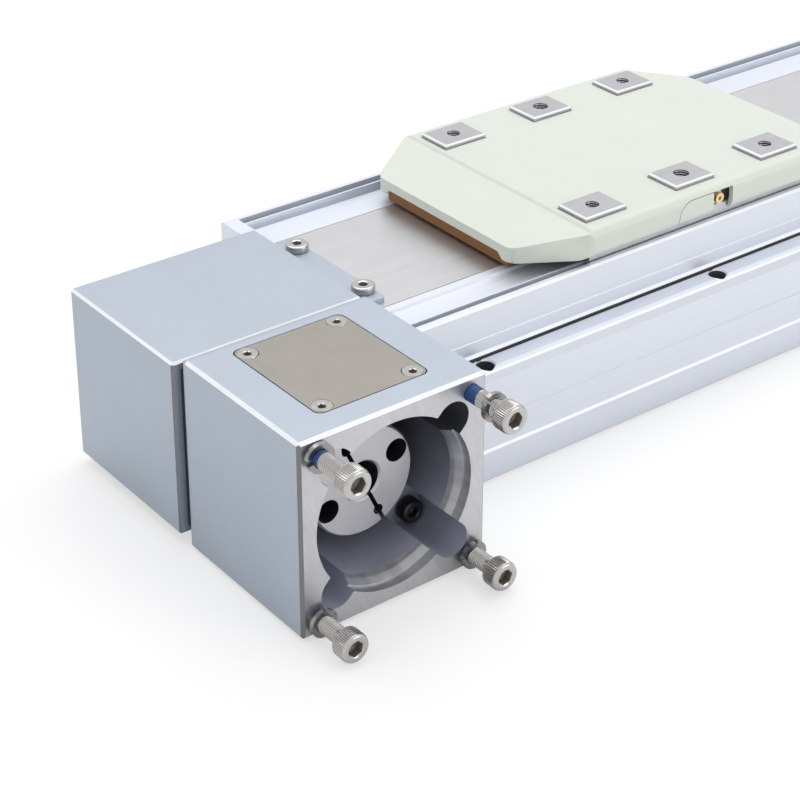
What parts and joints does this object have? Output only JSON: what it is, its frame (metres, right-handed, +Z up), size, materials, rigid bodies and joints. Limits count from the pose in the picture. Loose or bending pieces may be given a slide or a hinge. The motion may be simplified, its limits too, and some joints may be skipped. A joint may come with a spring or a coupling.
{
  "type": "belt-driven linear stage",
  "caption": "Belt-driven linear stage: stepped aluminium base, sliding carriage with raised pads, box end housings and an open square coupling housing for a side-mounted motor.",
  "frame": {"origin": "centre of the base's flat underside, half way between the two end housings", "axes": "+X along the travel, from the drive end to the idler end; the motor face looks along -Y; +Z up, out of the carriage's pads"},
  "size_m": [0.5498, 0.1565, 0.064],
  "materials": {
    "anodised_profile": "satin silver anodised extrusion",
    "anodised_housing": "fine matt silver anodised, with bright chamfers",
    "ground_steel": "ground",
    "satin_stainless": "satin rolled",
    "nickel_screws": "nickel plated, slightly worn",
    "turned_aluminium": "turned bright",
    "plain_aluminium": "milled",
    "ivory_plastic": "fine matt moulding",
    "black_rubber": "matt",
    "brown_seal": "matt",
    "nipple_brass": "plain"
  },
  "bodies": {
    "base": {"base_profile": "anodised_profile", "guide_rail_front": "ground_steel", "guide_rail_rear": "ground_steel", "rail_screws": "nickel_screws", "end_plate_drive": "anodised_profile", "end_plate_idler": "anodised_profile", "end_plate_screws": "nickel_screws", "housing_bolts": "nickel_screws", "deck": "anodised_profile", "seal_strip": "satin_stainless", "deck_support_drive": "anodised_profile", "deck_support_idler": "anodised_profile", "strip_clamps": "satin_stainless", "strip_clamp_screws": "nickel_screws", "bumpers": "black_rubber", "drive_housing": "anodised_housing", "service_cover": "anodised_housing", "service_cover_screws": "nickel_screws", "bearing_retainers": "anodised_housing", "bearing_retainer_screws": "nickel_screws", "housing_spacer": "anodised_housing", "coupling_housing": "anodised_housing", "access_cover": "satin_stainless", "access_cover_screws": "nickel_screws", "tie_screws": "nickel_screws", "motor_screws": "nickel_screws", "motor_spring_washers": "nickel_screws", "bearing_outer_rings": "ground_steel", "timing_belt": "black_rubber", "idler_housing": "anodised_housing", "tension_fork": "plain_aluminium", "tension_screws": "nickel_screws", "idler_axle": "ground_steel"},
    "carriage": {"bearing_blocks": "ground_steel", "saddle": "plain_aluminium", "saddle_screws": "nickel_screws", "belt_clamp_lower": "plain_aluminium", "belt_clamp_upper": "plain_aluminium", "belt_clamp_screws": "nickel_screws", "carriage_plate": "plain_aluminium", "carriage_plate_screws": "nickel_screws", "carriage_cover": "ivory_plastic", "side_hatch": "ivory_plastic", "end_wipers": "brown_seal", "grease_nipple": "nipple_brass"},
    "drive": {"drive_shaft": "ground_steel", "drive_key": "ground_steel", "drive_pulley": "turned_aluminium", "bearing_inner_rings": "ground_steel", "shaft_sleeves": "ground_steel", "circlips": "ground_steel", "coupling_hub_motor": "turned_aluminium", "coupling_hub_shaft": "turned_aluminium", "coupling_clamp_screws": "nickel_screws", "coupling_centre": "turned_aluminium", "coupling_discs": "ground_steel"},
    "idler": {"idler_pulley": "turned_aluminium", "idler_bushes": "nipple_brass"}
  },
  "joints": [
    {"name": "carriage_travel", "type": "slide", "parent": "base", "child": "carriage", "axis": [1, 0, 0], "range_m": [-0.032, 0.218]},
    {"name": "drive_spin", "type": "hinge", "parent": "base", "child": "drive", "pos_m": [-0.2412, 0, 0.0295], "axis": [0, 1, 0], "range_deg": [-150, 990]},
    {"name": "idler_spin", "type": "hinge", "parent": "base", "child": "idler", "pos_m": [0.2388, 0, 0.0295], "axis": [0, 1, 0], "range_deg": [-150, 990]}
  ],
  "couplings": [
    {"joint": "drive_spin", "follows": "carriage_travel", "rad_per_m": 78.54},
    {"joint": "idler_spin", "follows": "carriage_travel", "rad_per_m": 78.54}
  ]
}
